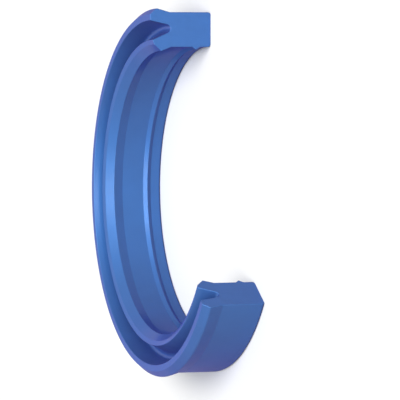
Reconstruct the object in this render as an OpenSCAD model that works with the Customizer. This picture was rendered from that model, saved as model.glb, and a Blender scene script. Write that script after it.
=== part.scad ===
// Rod seal for a hydraulic cylinder, with a sector cut away to show its section.
// The ring lies on its heel. The origin is on the ring's axis, in the plane of the heel face.
// +Z points along the axis from the heel to the pressure side, where the two lips open.
// +X points from the axis through the first cut face, and the ring runs on anticlockwise.

/* [Rod and gland] */
// Diameter of the rod that runs through the seal
rod_d = 63; // [45:1:160]
// Radial space between the rod and the bore of the gland
gland_space = 7.5; // [6.9:0.1:9]
// Gap between the heel's bore and the rod, on the radius
heel_gap = 0.1; // [0:0.05:0.3]
// How far the relaxed body stands past the bore of the gland, on the radius
body_squeeze = 0.15; // [0:0.05:0.4]

/* [Body] */
// Height from the heel face to the tip of the outer lip
seal_h = 14; // [11.5:0.1:20]
// Radius of the round on both edges of the heel
heel_round = 0.65; // [0.2:0.05:1.2]
// Part of the whole turn that the ring keeps, where 360 is an uncut seal
kept_angle = 235; // [60:5:360]

/* [Outer lip] */
// How far the outer lip's peak stands past the body, on the radius
outer_flare = 0.85; // [0.4:0.05:1.4]
// Drop from the outer lip's tip to its peak
outer_peak_drop = 1.5; // [0.8:0.1:2.2]
// Radial width of the bevel between the outer lip's tip and its peak
outer_bevel_w = 1.3; // [0.6:0.1:1.6]
// Height of the flank under the outer lip's peak
outer_flank_h = 3; // [1.5:0.1:4]

/* [Inner lip] */
// How far the sealing edge reaches past the rod's surface, on the radius
edge_squeeze = 0.8; // [0.3:0.05:1.3]
// Drop from the outer lip's tip to the sealing edge
edge_drop = 2.55; // [2.2:0.05:3.2]
// Drop from the outer lip's tip to the inner lip's tip
inner_tip_drop = 0.55; // [0.2:0.05:0.8]
// Radial width of the bevel in front of the sealing edge
inner_bevel_w = 1.45; // [0.8:0.05:1.8]
// Height of the bevel in front of the sealing edge
inner_bevel_h = 1.6; // [1:0.05:1.7]
// Height of the flank behind the sealing edge
inner_flank_h = 2.3; // [1.2:0.1:3]

/* [Groove] */
// Depth of the groove, from the outer lip's tip to the groove's floor
groove_depth = 4.7; // [3.8:0.1:6]
// Radius of the round floor of the groove
floor_round = 0.95; // [0.6:0.05:1.1]
// How far the groove's floor lies outside the middle of the section
groove_shift = 0.3; // [0:0.05:0.6]
// Lean of the outer wall of the groove, in degrees from the axis
outer_wall_lean = 12.4; // [6:0.2:15]
// Lean of the inner wall of the groove, in degrees from the axis
inner_wall_lean = 23.7; // [15:0.1:26]

/* [Secondary lip] */
// How far the secondary lip reaches past the rod's surface, on the radius
second_squeeze = 0.55; // [0.2:0.05:0.9]
// Height of the secondary lip's crest over the heel face
second_h = 3.4; // [2.6:0.1:4.2]
// Height of the flank on the pressure side of the secondary lip
second_front_h = 0.8; // [0.5:0.05:1.4]
// Height of the flank on the heel side of the secondary lip
second_back_h = 0.95; // [0.5:0.05:1.2]

/* [Edges] */
// Radius of the round on the tips of both lips
tip_round = 0.2; // [0.05:0.05:0.3]
// Radius of the round on the outer lip's peak
peak_round = 0.5; // [0.1:0.1:1]
// Radius of the round on the sealing edge and on the secondary lip's crest
edge_round = 0.15; // [0.05:0.05:0.3]
// Radius of the round in each hollow corner where a lip meets the body
foot_round = 0.4; // [0.1:0.1:1]

/* [Hidden] */

// Largest turn from one point of a round to the next
arc_step = 15;
// Segments that the preview draws in a whole turn
ring_facets = 360;

// Radii of the rod, and of the body's bore and outside
rod_r = rod_d / 2;
bore_r = rod_r + heel_gap;
body_r = rod_r + gland_space + body_squeeze;

// Outer lip, from its foot on the body up to its tip
peak_r = body_r + outer_flare;
peak_z = seal_h - outer_peak_drop;
outer_foot_z = peak_z - outer_flank_h;
outer_tip_r = peak_r - outer_bevel_w;

// Groove: the floor is one arc, and both walls run off it on a tangent
floor_r = rod_r + gland_space / 2 + groove_shift;
floor_z = seal_h - groove_depth + floor_round;

// Inner lip, from its tip down to its foot in the bore
inner_tip_z = seal_h - inner_tip_drop;
edge_r = rod_r - edge_squeeze;
edge_z = seal_h - edge_drop;
bevel_r = edge_r + inner_bevel_w;
bevel_z = edge_z + inner_bevel_h;
inner_foot_z = edge_z - inner_flank_h;

// Secondary lip in the bore, between the heel and the sealing edge
crest_r = rod_r - second_squeeze;

// Radius at height z of a groove wall that leans away from the floor
function outer_wall_r(z) =
    floor_r + floor_round / cos(outer_wall_lean) + (z - floor_z) * tan(outer_wall_lean);
function inner_wall_r(z) =
    floor_r - floor_round / cos(inner_wall_lean) - (z - floor_z) * tan(inner_wall_lean);

// Point where the lines of both walls would meet under the round floor
wall_slopes = tan(outer_wall_lean) + tan(inner_wall_lean);
apex_z = floor_z - (outer_wall_r(floor_z) - inner_wall_r(floor_z)) / wall_slopes;

// Corners of the section, each as radius, height and radius of its round
corners = [
    [body_r, 0, heel_round],
    [body_r, outer_foot_z, foot_round],
    [peak_r, peak_z, peak_round],
    [outer_tip_r, seal_h, tip_round],
    [outer_wall_r(seal_h), seal_h, tip_round],
    [outer_wall_r(apex_z), apex_z, floor_round],
    [inner_wall_r(inner_tip_z), inner_tip_z, tip_round],
    [bevel_r, bevel_z, tip_round],
    [edge_r, edge_z, edge_round],
    [bore_r, inner_foot_z, foot_round],
    [bore_r, second_h + second_front_h, edge_round],
    [crest_r, second_h, edge_round],
    [bore_r, second_h - second_back_h, edge_round],
    [bore_r, 0, heel_round]
];

function xy(corner) = [corner[0], corner[1]];
function unit(v) = v / norm(v);
function heading(v) = atan2(v[1], v[0]);
// Turn from one heading to the next, the short way round
function short_turn(from, to) = (to - from + 540) % 360 - 180;

// Points of the round at corner b, between its neighbours a and c.
// The round reaches less than half way along the shorter of its two edges.
function rounded(a, b, c, radius) =
    let (
        to_a = unit(a - b),
        to_c = unit(c - b),
        half = acos(to_a * to_c) / 2,
        room = 0.48 * min(norm(a - b), norm(c - b)),
        r = min(radius, room * tan(half)),
        reach = r / tan(half),
        centre = b + unit(to_a + to_c) * r / sin(half),
        start = heading(b + to_a * reach - centre),
        turn = short_turn(start, heading(b + to_c * reach - centre)),
        steps = ceil(abs(turn) / arc_step)
    )
    [for (i = [0 : steps])
        centre + r * [cos(start + turn * i / steps), sin(start + turn * i / steps)]];

function section(list) =
    let (n = len(list))
    [for (i = [0 : n - 1])
        each rounded(xy(list[(i + n - 1) % n]), xy(list[i]), xy(list[(i + 1) % n]), list[i][2])];

// The whole seal: one moulded ring of polyurethane, turned from its section
module seal_ring() {
    color("royalblue")
        rotate_extrude(angle = kept_angle, $fn = ring_facets)
            polygon(section(corners));
}

seal_ring();
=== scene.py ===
"""A blue polyurethane rod seal that lies on its heel, with a sector cut away to show its section."""

import math

import bpy
from mathutils import Matrix, Vector


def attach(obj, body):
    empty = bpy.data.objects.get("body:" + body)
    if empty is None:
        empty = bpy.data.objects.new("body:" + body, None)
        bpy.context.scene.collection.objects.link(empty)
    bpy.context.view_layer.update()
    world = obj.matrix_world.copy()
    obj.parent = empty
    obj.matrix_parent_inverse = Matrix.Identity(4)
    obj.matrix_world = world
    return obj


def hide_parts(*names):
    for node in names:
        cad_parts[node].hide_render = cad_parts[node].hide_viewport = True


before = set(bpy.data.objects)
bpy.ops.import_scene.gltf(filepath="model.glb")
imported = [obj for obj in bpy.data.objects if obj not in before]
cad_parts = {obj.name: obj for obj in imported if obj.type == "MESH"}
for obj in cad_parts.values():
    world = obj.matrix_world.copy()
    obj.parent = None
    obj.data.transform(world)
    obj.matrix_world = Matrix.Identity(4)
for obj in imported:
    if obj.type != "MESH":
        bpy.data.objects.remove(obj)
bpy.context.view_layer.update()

MM = 0.001

# Camera, in the row frame, with its azimuth from the front toward +X and its elevation in degrees.
# Its up direction is +X, as the photo shows the ring on its rim.
VIEW_AZIMUTH = 2.40
VIEW_ELEVATION = 20.77
CAM_DISTANCE = 826.0 * MM
CAM_AIM = Vector((-1.75, 0.76, 2.20)) * MM
CAM_LENS = 340.9
CAM_SENSOR = 36.0
# Nearest and farthest that it sees, in metres
CAM_CLIP_START = 0.05
CAM_CLIP_END = 20.0

# Section of the ring, in millimetres, by the same sizes as the CAD part
ROD_R = 31.5
GLAND_SPACE = 7.5
HEEL_GAP = 0.1
BODY_SQUEEZE = 0.15
SEAL_H = 14.0
HEEL_ROUND = 0.65
OUTER_FLARE = 0.85
OUTER_PEAK_DROP = 1.5
OUTER_BEVEL_W = 1.3
OUTER_FLANK_H = 3.0
EDGE_SQUEEZE = 0.8
EDGE_DROP = 2.55
INNER_TIP_DROP = 0.55
INNER_BEVEL_W = 1.45
INNER_BEVEL_H = 1.6
INNER_FLANK_H = 2.3
GROOVE_DEPTH = 4.7
FLOOR_ROUND = 0.95
GROOVE_SHIFT = 0.3
OUTER_WALL_LEAN = math.radians(12.4)
INNER_WALL_LEAN = math.radians(23.7)
SECOND_SQUEEZE = 0.55
SECOND_H = 3.4
SECOND_FRONT_H = 0.8
SECOND_BACK_H = 0.95
TIP_ROUND = 0.2
PEAK_ROUND = 0.5
EDGE_ROUND = 0.15
FOOT_ROUND = 0.4

# A round takes less than half of the shorter edge beside it, and turns in small steps
ROUND_SHARE = 0.48
ARC_STEP = math.radians(9.0)
MIN_ARC_STEPS = 2

# Sweep of the section, and the round on the edges of both cuts, in millimetres
KEPT_ANGLE = math.radians(235.0)
SWEEP_STEPS = 320
CUT_EDGE_ROUND = 0.12
CUT_EDGE_STEPS = 4

# Colours, linear
BLUE = (0.025, 0.150, 0.400)
BLUE_DEEP = (0.023, 0.140, 0.372)
CUT_BLUE = (0.025, 0.147, 0.395)
CUT_PALE = (0.027, 0.156, 0.420)

# Finish of the polyurethane, by the names of the shader's inputs
FINISH = {
    "Metallic": 0.40,
    "IOR": 1.302,
    "Specular IOR Level": 0.0,
    "Specular Tint": (0.387, 0.0, 1.0, 1.0),
    "Coat Weight": 0.18,
    "Coat Roughness": 0.187,
    "Coat IOR": 1.971,
    "Coat Tint": (1.0, 0.769, 1.0, 1.0),
    "Sheen Weight": 0.05,
    "Sheen Roughness": 1.0,
    "Sheen Tint": (1.0, 0.053, 0.400, 1.0),
}

# Noises of the skin and of the cut faces, each as cells a metre and layers of finer detail
SKIN_MOTTLE = (160, 3)
SKIN_GLOSS = (420, 3)
SKIN_GRAIN = (3600, 2)
TURNED_LINES = (5200, 1)
CUT_MOTTLE = (500, 3)
CUT_STROKES = (300, 3)
# The strokes run along the ring's axis, so their noise is this much finer along the radius
CUT_STROKE_STRETCH = (14, 1, 1)
# A noise seldom leaves this range of its factor
NOISE_RANGE = (0.3, 0.7)

# Roughness from the glossiest spots to the dullest, and the height of the relief
SKIN_ROUGHNESS = (0.428, 0.488)
CUT_ROUGHNESS = (0.50, 0.60)
TURNED_HEIGHT = 0.006 * MM
GRAIN_HEIGHT = 0.010 * MM
STROKE_HEIGHT = 0.012 * MM

# Disk lamps on the part: azimuth from the front toward +X and elevation in degrees, the disk's
# width in metres, and the light that reaches the part
LAMPS = {
    "key": (4.6, 36.0, 1.30, 4.95),
    "top": (10.4, 45.0, 1.60, 1.82),
    "back": (184.0, 28.0, 1.60, 1.10),
}
# Distance of every lamp from the origin, in metres
LAMP_DISTANCE = 1.0

# Suns on the floor alone: azimuth, elevation and width in degrees, and the light on the level floor
FLOOR_SUNS = {
    "floor_sun": (12.0, 48.0, 42.0, 2.45),
    "floor_sky": (0.0, 90.0, 150.0, 1.05),
}

# Greys of the floor and the world: white where they are seen, and dim where they light the part
FLOOR_SEEN = 0.95
FLOOR_BOUNCE = 0.06
WORLD_SEEN = 1.0
WORLD_LIGHT = 0.01

# Side of the square floor, in metres
FLOOR_SIZE = 6.0


def section_corners():
    """Corners of the section as (radius, height, radius of the round), anticlockwise from the heel."""
    bore_r = ROD_R + HEEL_GAP
    body_r = ROD_R + GLAND_SPACE + BODY_SQUEEZE
    peak_r = body_r + OUTER_FLARE
    peak_z = SEAL_H - OUTER_PEAK_DROP
    floor_r = ROD_R + GLAND_SPACE / 2 + GROOVE_SHIFT
    floor_z = SEAL_H - GROOVE_DEPTH + FLOOR_ROUND
    inner_tip_z = SEAL_H - INNER_TIP_DROP
    edge_r = ROD_R - EDGE_SQUEEZE
    edge_z = SEAL_H - EDGE_DROP
    crest_r = ROD_R - SECOND_SQUEEZE

    def outer_wall_r(z):
        return floor_r + FLOOR_ROUND / math.cos(OUTER_WALL_LEAN) + (z - floor_z) * math.tan(OUTER_WALL_LEAN)

    def inner_wall_r(z):
        return floor_r - FLOOR_ROUND / math.cos(INNER_WALL_LEAN) - (z - floor_z) * math.tan(INNER_WALL_LEAN)

    slopes = math.tan(OUTER_WALL_LEAN) + math.tan(INNER_WALL_LEAN)
    apex_z = floor_z - (outer_wall_r(floor_z) - inner_wall_r(floor_z)) / slopes
    return [
        (body_r, 0, HEEL_ROUND),
        (body_r, peak_z - OUTER_FLANK_H, FOOT_ROUND),
        (peak_r, peak_z, PEAK_ROUND),
        (peak_r - OUTER_BEVEL_W, SEAL_H, TIP_ROUND),
        (outer_wall_r(SEAL_H), SEAL_H, TIP_ROUND),
        (outer_wall_r(apex_z), apex_z, FLOOR_ROUND),
        (inner_wall_r(inner_tip_z), inner_tip_z, TIP_ROUND),
        (edge_r + INNER_BEVEL_W, edge_z + INNER_BEVEL_H, TIP_ROUND),
        (edge_r, edge_z, EDGE_ROUND),
        (bore_r, edge_z - INNER_FLANK_H, FOOT_ROUND),
        (bore_r, SECOND_H + SECOND_FRONT_H, EDGE_ROUND),
        (crest_r, SECOND_H, EDGE_ROUND),
        (bore_r, SECOND_H - SECOND_BACK_H, EDGE_ROUND),
        (bore_r, 0, HEEL_ROUND),
    ]


def rounded_corner(before, corner, after, radius):
    """Points of the round at a corner, each with the section's outward normal there."""
    to_before = (before - corner).normalized()
    to_after = (after - corner).normalized()
    half = to_before.angle(to_after) / 2
    room = ROUND_SHARE * min((before - corner).length, (after - corner).length)
    radius = min(radius, room * math.tan(half))
    reach = radius / math.tan(half)
    centre = corner + (to_before + to_after).normalized() * (radius / math.sin(half))
    start = corner + to_before * reach - centre
    end = corner + to_after * reach - centre
    turn = -start.angle_signed(end)
    steps = max(MIN_ARC_STEPS, math.ceil(abs(turn) / ARC_STEP))
    out_sign = 1 if turn > 0 else -1
    points = []
    for i in range(steps + 1):
        spoke = start.copy()
        spoke.rotate(Matrix.Rotation(turn * i / steps, 2))
        points.append((centre + spoke, spoke.normalized() * out_sign))
    return points


def section_outline():
    """The whole outline of the section as (point, outward normal) pairs, in millimetres."""
    corners = section_corners()
    count = len(corners)
    outline = []
    for i, (r, z, radius) in enumerate(corners):
        before = Vector(corners[i - 1][:2])
        after = Vector(corners[(i + 1) % count][:2])
        outline += rounded_corner(before, Vector((r, z)), after, radius)
    return outline


def sweep_stations():
    """Stations along the ring as (angle, inset, tilt of the normal): both ends hold a rounded edge."""
    mean_r = ROD_R + GLAND_SPACE / 2
    edge = []
    for i in range(CUT_EDGE_STEPS + 1):
        tilt = math.pi / 2 * (1 - i / CUT_EDGE_STEPS)
        along = CUT_EDGE_ROUND * (1 - math.sin(tilt))
        inset = CUT_EDGE_ROUND * (1 - math.cos(tilt))
        edge.append((along / mean_r, inset, -tilt))
    first = edge[-1][0]
    last = KEPT_ANGLE - first
    middle = [(first + (last - first) * i / SWEEP_STEPS, 0.0, 0.0) for i in range(1, SWEEP_STEPS)]
    far = [(KEPT_ANGLE - angle, inset, -tilt) for angle, inset, tilt in reversed(edge)]
    return edge + middle + far


def swept_points(stations, outline):
    """Points of the swept outline, in metres, and the skin's normal at each."""
    points, normals = [], []
    for angle, inset, tilt in stations:
        radial = Vector((math.cos(angle), math.sin(angle), 0))
        along = Vector((-math.sin(angle), math.cos(angle), 0))
        for point, normal in outline:
            at = point - normal * inset
            points.append((radial * at.x + Vector((0, 0, at.y))) * MM)
            skin = radial * normal.x + Vector((0, 0, normal.y))
            normals.append(skin * math.cos(tilt) + along * math.sin(tilt))
    return points, normals


def swept_faces(stations, count):
    """Four-sided faces of the skin, between stations of so many points, and then the two cut faces."""
    skin = []
    for station in range(stations - 1):
        start = station * count
        for i in range(count):
            here, beside = start + i, start + (i + 1) % count
            skin.append((beside, here, here + count, beside + count))
    total = stations * count
    cuts = [tuple(range(count)), tuple(reversed(range(total - count, total)))]
    return skin, cuts


def build_ring():
    """The ring as one closed mesh: a swept skin with rounded cut edges, and a flat face at each cut."""
    outline = section_outline()
    stations = sweep_stations()
    points, normals = swept_points(stations, outline)
    skin, cuts = swept_faces(len(stations), len(outline))
    mesh = bpy.data.meshes.new("seal_ring_skin")
    mesh.from_pydata([tuple(point) for point in points], [], skin + cuts)
    mesh.polygons.foreach_set("use_smooth", [True] * len(mesh.polygons))
    for face in mesh.polygons[len(skin):]:
        face.material_index = 1
    mesh.normals_split_custom_set_from_vertices([tuple(normal) for normal in normals])
    mesh.validate()
    ring = bpy.data.objects.new("seal_ring_skin", mesh)
    bpy.context.scene.collection.objects.link(ring)
    return ring


def new_material(name):
    """A new material, its node tree and its Principled shader."""
    mat = bpy.data.materials.new(name)
    mat.use_nodes = True
    return mat, mat.node_tree, mat.node_tree.nodes["Principled BSDF"]


def ring_coordinates(tree):
    """Sockets for the point on the object, and for its (radius, height, 0), in metres."""
    nodes, links = tree.nodes, tree.links
    place = nodes.new("ShaderNodeTexCoord").outputs["Object"]
    split = nodes.new("ShaderNodeSeparateXYZ")
    links.new(place, split.inputs[0])
    flat = nodes.new("ShaderNodeCombineXYZ")
    links.new(split.outputs["X"], flat.inputs["X"])
    links.new(split.outputs["Y"], flat.inputs["Y"])
    radius = nodes.new("ShaderNodeVectorMath")
    radius.operation = "LENGTH"
    links.new(flat.outputs[0], radius.inputs[0])
    profile = nodes.new("ShaderNodeCombineXYZ")
    links.new(radius.outputs["Value"], profile.inputs["X"])
    links.new(split.outputs["Z"], profile.inputs["Y"])
    return place, profile.outputs[0]


def noise(tree, vector, kind, stretch=(1, 1, 1)):
    """Factor of a noise of one kind, finer along each axis by its stretch."""
    cells, layers = kind
    mapping = tree.nodes.new("ShaderNodeMapping")
    mapping.inputs["Scale"].default_value = stretch
    tree.links.new(vector, mapping.inputs["Vector"])
    texture = tree.nodes.new("ShaderNodeTexNoise")
    texture.inputs["Scale"].default_value = cells
    texture.inputs["Detail"].default_value = layers
    tree.links.new(mapping.outputs[0], texture.inputs["Vector"])
    return texture.outputs[0]


def spread(tree, factor, low, high):
    """The factor of a noise, spread from low to high over its usual range."""
    remap = tree.nodes.new("ShaderNodeMapRange")
    remap.inputs["From Min"].default_value = NOISE_RANGE[0]
    remap.inputs["From Max"].default_value = NOISE_RANGE[1]
    remap.inputs["To Min"].default_value = low
    remap.inputs["To Max"].default_value = high
    tree.links.new(factor, remap.inputs["Value"])
    return remap.outputs[0]


def mix_colors(tree, factor, first, second):
    """A colour between two, the first where the factor is 0."""
    mix = tree.nodes.new("ShaderNodeMix")
    mix.data_type = "RGBA"
    mix.inputs["A"].default_value = (*first, 1)
    mix.inputs["B"].default_value = (*second, 1)
    tree.links.new(factor, mix.inputs["Factor"])
    return mix.outputs["Result"]


def bump(tree, height, distance, below=None):
    """A normal bent by a relief of so many metres, over another relief if there is one below."""
    node = tree.nodes.new("ShaderNodeBump")
    node.inputs["Distance"].default_value = distance
    tree.links.new(height, node.inputs["Height"])
    if below:
        tree.links.new(below, node.inputs["Normal"])
    return node.outputs[0]


def dress(tree, bsdf, color, roughness, normal):
    """Gives the shader its varied inputs by links, and the common finish as plain values."""
    tree.links.new(color, bsdf.inputs["Base Color"])
    tree.links.new(roughness, bsdf.inputs["Roughness"])
    tree.links.new(normal, bsdf.inputs["Normal"])
    for name, value in FINISH.items():
        bsdf.inputs[name].default_value = value


def skin_material():
    """Moulded polyurethane: satin, with the mould's fine turned lines, a faint mottle and a fine grain."""
    mat, tree, bsdf = new_material("moulded_skin")
    place, profile = ring_coordinates(tree)
    mottle = spread(tree, noise(tree, place, SKIN_MOTTLE), 0, 1)
    gloss = spread(tree, noise(tree, place, SKIN_GLOSS), *SKIN_ROUGHNESS)
    lines = bump(tree, noise(tree, profile, TURNED_LINES), TURNED_HEIGHT)
    relief = bump(tree, noise(tree, place, SKIN_GRAIN), GRAIN_HEIGHT, lines)
    dress(tree, bsdf, mix_colors(tree, mottle, BLUE, BLUE_DEEP), gloss, relief)
    return mat


def cut_material():
    """A face left by the cut: a little paler and duller, with fine strokes along the ring's axis."""
    mat, tree, bsdf = new_material("cut_face")
    place, profile = ring_coordinates(tree)
    mottle = spread(tree, noise(tree, place, CUT_MOTTLE), 0, 1)
    strokes = noise(tree, profile, CUT_STROKES, CUT_STROKE_STRETCH)
    gloss = spread(tree, strokes, *CUT_ROUGHNESS)
    relief = bump(tree, strokes, STROKE_HEIGHT)
    dress(tree, bsdf, mix_colors(tree, mottle, CUT_BLUE, CUT_PALE), gloss, relief)
    return mat


def grey_shader(tree, kind, level):
    """The output of a plain shader of one kind, in one grey."""
    node = tree.nodes.new(kind)
    node.inputs["Color"].default_value = (level, level, level, 1)
    return node.outputs[0]


def show_and_light(tree, seen, light, surface):
    """One shader where the camera, gloss or glass sees it, and another where it lights the part."""
    rays = tree.nodes.new("ShaderNodeLightPath")
    factor = rays.outputs["Is Camera Ray"]
    for name in ("Is Glossy Ray", "Is Transmission Ray"):
        either = tree.nodes.new("ShaderNodeMath")
        either.operation = "MAXIMUM"
        tree.links.new(factor, either.inputs[0])
        tree.links.new(rays.outputs[name], either.inputs[1])
        factor = either.outputs[0]
    mix = tree.nodes.new("ShaderNodeMixShader")
    tree.links.new(factor, mix.inputs["Fac"])
    tree.links.new(light, mix.inputs[1])
    tree.links.new(seen, mix.inputs[2])
    tree.links.new(mix.outputs[0], surface)


def floor_material():
    """White with the part's shadow where it is seen, and dim where it lights the part."""
    mat = bpy.data.materials.new("floor")
    mat.use_nodes = True
    tree = mat.node_tree
    tree.nodes.clear()
    seen = grey_shader(tree, "ShaderNodeBsdfDiffuse", FLOOR_SEEN)
    light = grey_shader(tree, "ShaderNodeBsdfDiffuse", FLOOR_BOUNCE)
    result = tree.nodes.new("ShaderNodeOutputMaterial")
    show_and_light(tree, seen, light, result.inputs["Surface"])
    return mat


def make_floor():
    """A plain floor that the ring lies on."""
    bpy.ops.mesh.primitive_plane_add(size=FLOOR_SIZE)
    floor = bpy.context.object
    floor.name = "floor"
    floor.data.materials.append(floor_material())
    return floor


def make_world():
    """A world that is white where it is seen, and nearly dark as a light on the part."""
    world = bpy.data.worlds.new("world")
    world.use_nodes = True
    tree = world.node_tree
    tree.nodes.clear()
    seen = grey_shader(tree, "ShaderNodeBackground", WORLD_SEEN)
    light = grey_shader(tree, "ShaderNodeBackground", WORLD_LIGHT)
    result = tree.nodes.new("ShaderNodeOutputWorld")
    show_and_light(tree, seen, light, result.inputs["Surface"])
    bpy.context.scene.world = world


def direction(azimuth, elevation):
    """Unit vector toward an azimuth from the front toward +X, and an elevation, both in degrees."""
    azimuth, elevation = math.radians(azimuth), math.radians(elevation)
    return Vector((
        math.sin(azimuth) * math.cos(elevation),
        -math.cos(azimuth) * math.cos(elevation),
        math.sin(elevation),
    ))


def make_camera():
    """The photo's camera: a long lens that looks down on the ring, with +X up in the picture."""
    back = direction(VIEW_AZIMUTH, VIEW_ELEVATION)
    up = (Vector((1, 0, 0)) - back * back.x).normalized()
    right = up.cross(back)
    turn = Matrix((right, up, back)).transposed().to_4x4()
    data = bpy.data.cameras.new("camera")
    data.lens = CAM_LENS
    data.sensor_width = CAM_SENSOR
    data.clip_start = CAM_CLIP_START
    data.clip_end = CAM_CLIP_END
    cam = bpy.data.objects.new("camera", data)
    cam.matrix_world = Matrix.Translation(CAM_AIM + back * CAM_DISTANCE) @ turn
    bpy.context.scene.collection.objects.link(cam)
    bpy.context.scene.camera = cam


def add_lamp(name, data, toward, lit):
    """A lamp that stands in one direction from the part, and lights only the objects in one collection."""
    lamp = bpy.data.objects.new(name, data)
    lamp.location = toward * LAMP_DISTANCE
    lamp.rotation_mode = "QUATERNION"
    lamp.rotation_quaternion = toward.to_track_quat("Z", "Y")
    lamp.light_linking.receiver_collection = lit
    bpy.context.scene.collection.objects.link(lamp)


def make_lamps(part, floor):
    """Soft disk lamps for the part, and suns that whiten the floor and cast the part's shadow on it."""
    for name, (azimuth, elevation, size, light) in LAMPS.items():
        data = bpy.data.lights.new(name, "AREA")
        data.shape = "DISK"
        data.size = size
        data.energy = light * math.pi * LAMP_DISTANCE ** 2
        add_lamp(name, data, direction(azimuth, elevation), part)
    for name, (azimuth, elevation, width, light) in FLOOR_SUNS.items():
        toward = direction(azimuth, elevation)
        data = bpy.data.lights.new(name, "SUN")
        data.angle = math.radians(width)
        data.energy = light / toward.z
        add_lamp(name, data, toward, floor)


def collection_of(name, piece):
    """A collection that holds one piece, for a lamp to light."""
    group = bpy.data.collections.new(name)
    group.objects.link(piece)
    return group


make_camera()
ring = build_ring()
ring.data.materials.append(skin_material())
ring.data.materials.append(cut_material())
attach(ring, "root")
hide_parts("seal_ring")
floor = make_floor()
make_lamps(collection_of("lit_part", ring), collection_of("lit_floor", floor))
make_world()
bpy.context.scene.view_settings.view_transform = "Standard"
